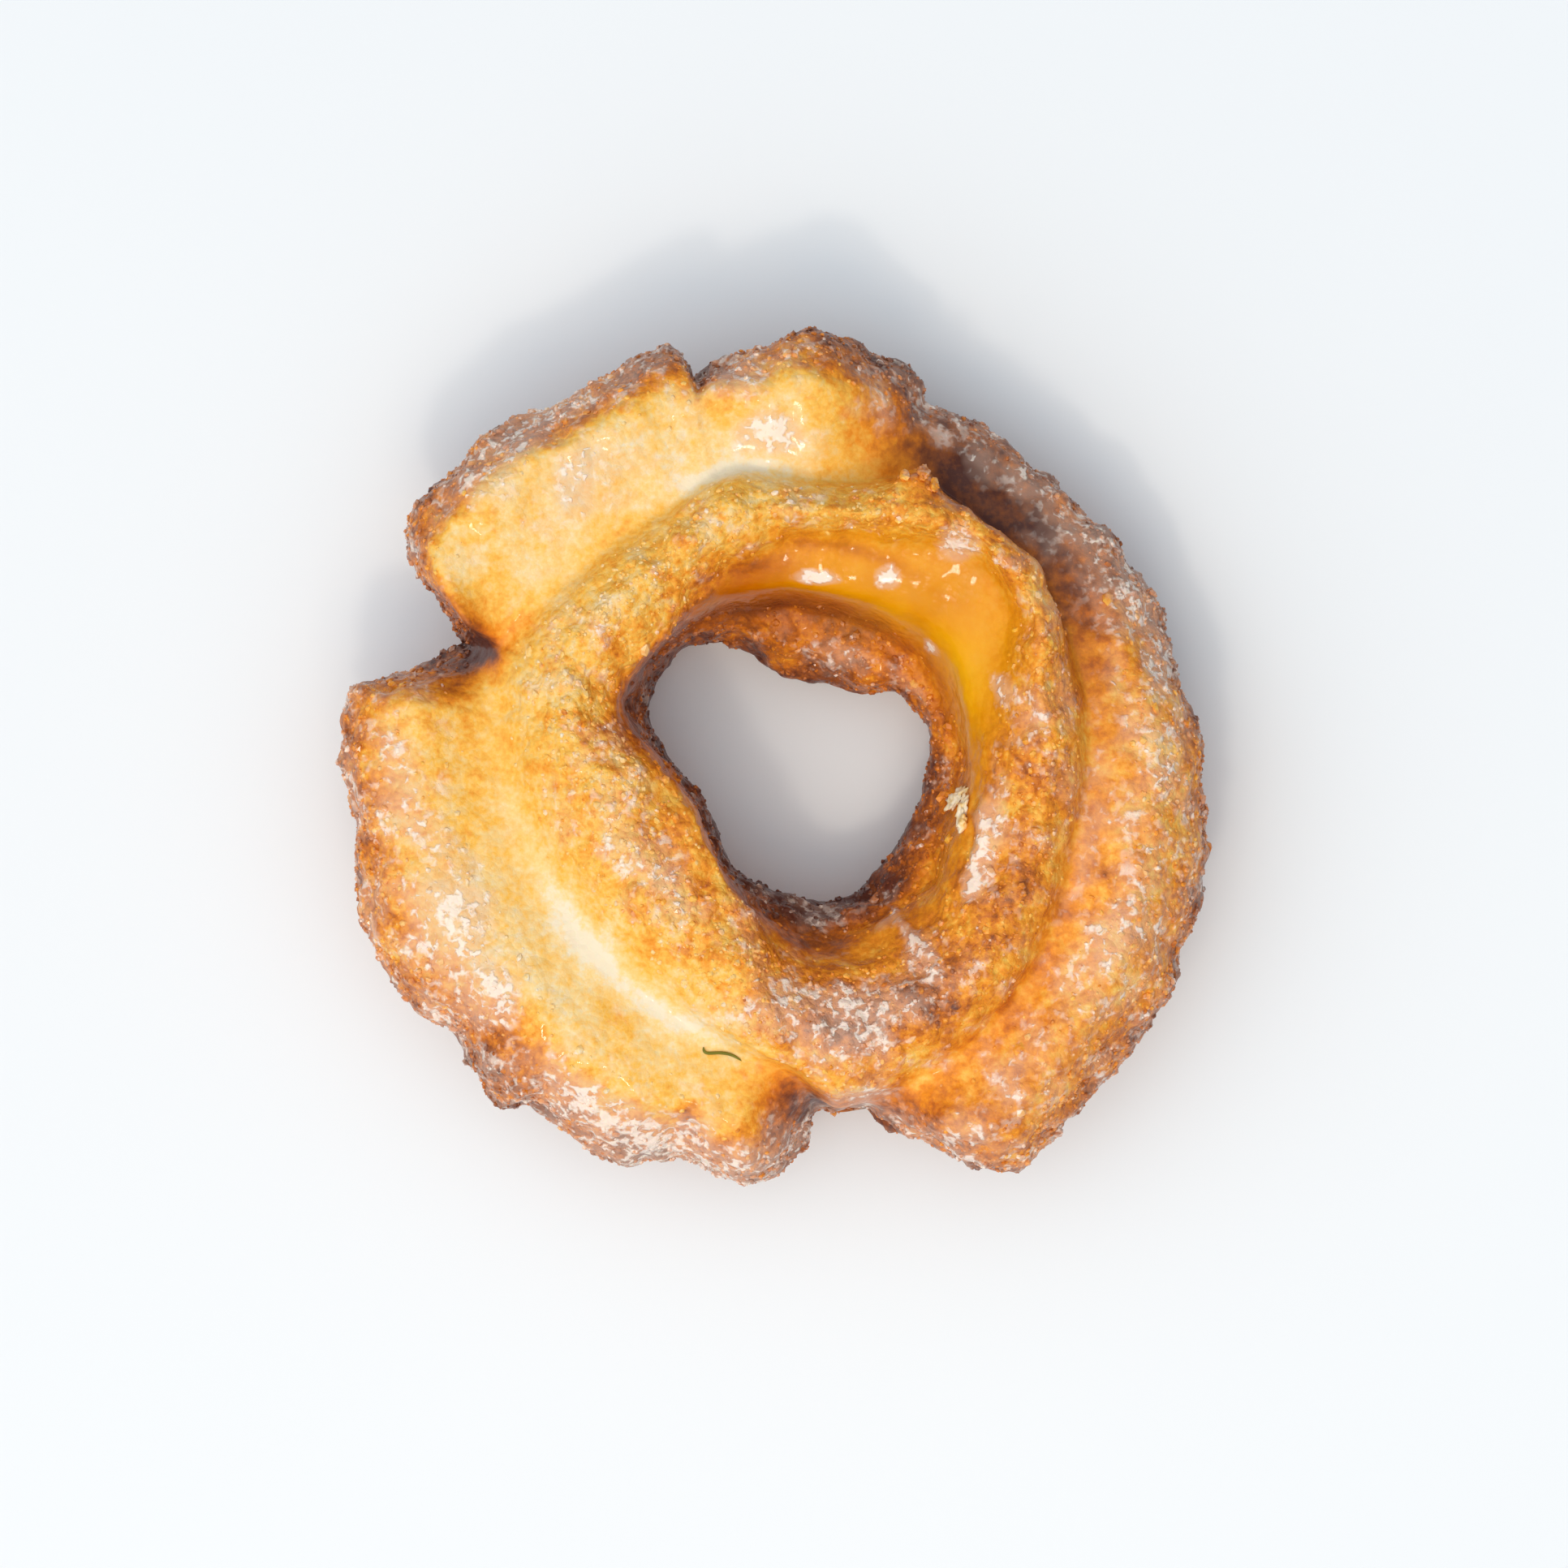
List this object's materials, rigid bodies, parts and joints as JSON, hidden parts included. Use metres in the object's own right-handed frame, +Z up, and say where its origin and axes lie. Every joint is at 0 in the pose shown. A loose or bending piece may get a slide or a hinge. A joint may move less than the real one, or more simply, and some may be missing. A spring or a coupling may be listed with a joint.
{
  "type": "old-fashioned doughnut",
  "caption": "Glazed old-fashioned doughnut lying flat: a cracked ring of fried dough with a raised inner ring, broad craggy petals and an off-centre hole.",
  "frame": {"origin": "middle of the bounding box in X and Y, at the height of the surface the doughnut lies on", "axes": "+Z up out of the cracked side, along the hole; +Y towards the top of the picture; +X towards its right"},
  "size_m": [0.0912, 0.0898, 0.0311],
  "materials": {
    "dough": null
  },
  "bodies": {
    "root": {"doughnut": "dough"}
  },
  "joints": []
}
